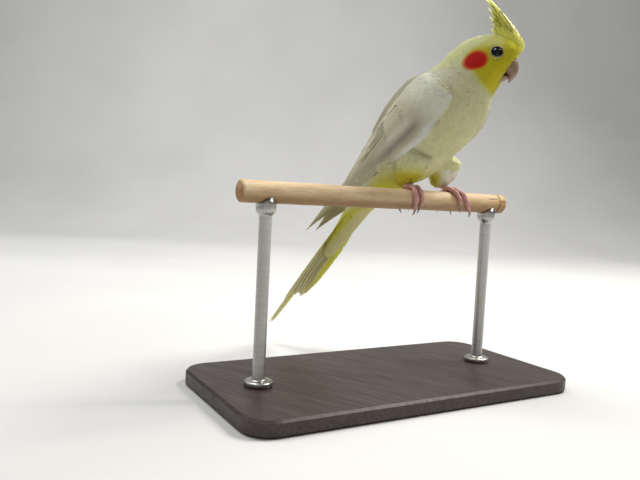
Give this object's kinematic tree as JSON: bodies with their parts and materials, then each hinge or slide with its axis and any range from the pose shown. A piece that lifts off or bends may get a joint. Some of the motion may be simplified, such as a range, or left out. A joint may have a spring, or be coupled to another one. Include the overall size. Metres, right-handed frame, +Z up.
{
  "type": "cockatiel on a perch",
  "caption": "Life-size still model of a pale yellow cockatiel with orange cheeks and a raised crest, gripping a short wooden perch on a plain display stand.",
  "frame": {"origin": "on the flat underside of the stand's base, straight below the point of the perch's axis midway between the bird's feet", "axes": "+X the way the bird's body faces, +Y to the bird's left, +Z up"},
  "size_m": [0.2361, 0.2677, 0.273],
  "materials": {
    "plumage_yellow": "soft matte feathers",
    "plumage_white": "soft matte feathers",
    "bill": "satin horn",
    "eye": "wet gloss",
    "foot_skin": "scaled pink skin",
    "claw": "satin horn",
    "perch_wood": "worn bare wood",
    "base_wood": "dark satin stain",
    "rod_metal": "brushed"
  },
  "bodies": {
    "root": {"head": "plumage_yellow", "neck": "plumage_white", "trunk": "plumage_white", "tail": "plumage_yellow", "wing_right": "plumage_white", "wing_left": "plumage_white", "crest": "plumage_yellow", "leg_right": "plumage_yellow", "leg_left": "plumage_yellow", "bill_upper": "bill", "bill_lower": "bill", "eye_left": "eye", "eye_right": "eye", "foot_right": "foot_skin", "foot_left": "foot_skin", "claw_right_front_outer": "claw", "claw_right_front_inner": "claw", "claw_right_back_outer": "claw", "claw_right_back_inner": "claw", "claw_left_front_outer": "claw", "claw_left_front_inner": "claw", "claw_left_back_outer": "claw", "claw_left_back_inner": "claw", "perch": "perch_wood", "stand_base": "base_wood", "stand_rod_1": "rod_metal", "stand_rod_2": "rod_metal"}
  },
  "joints": []
}
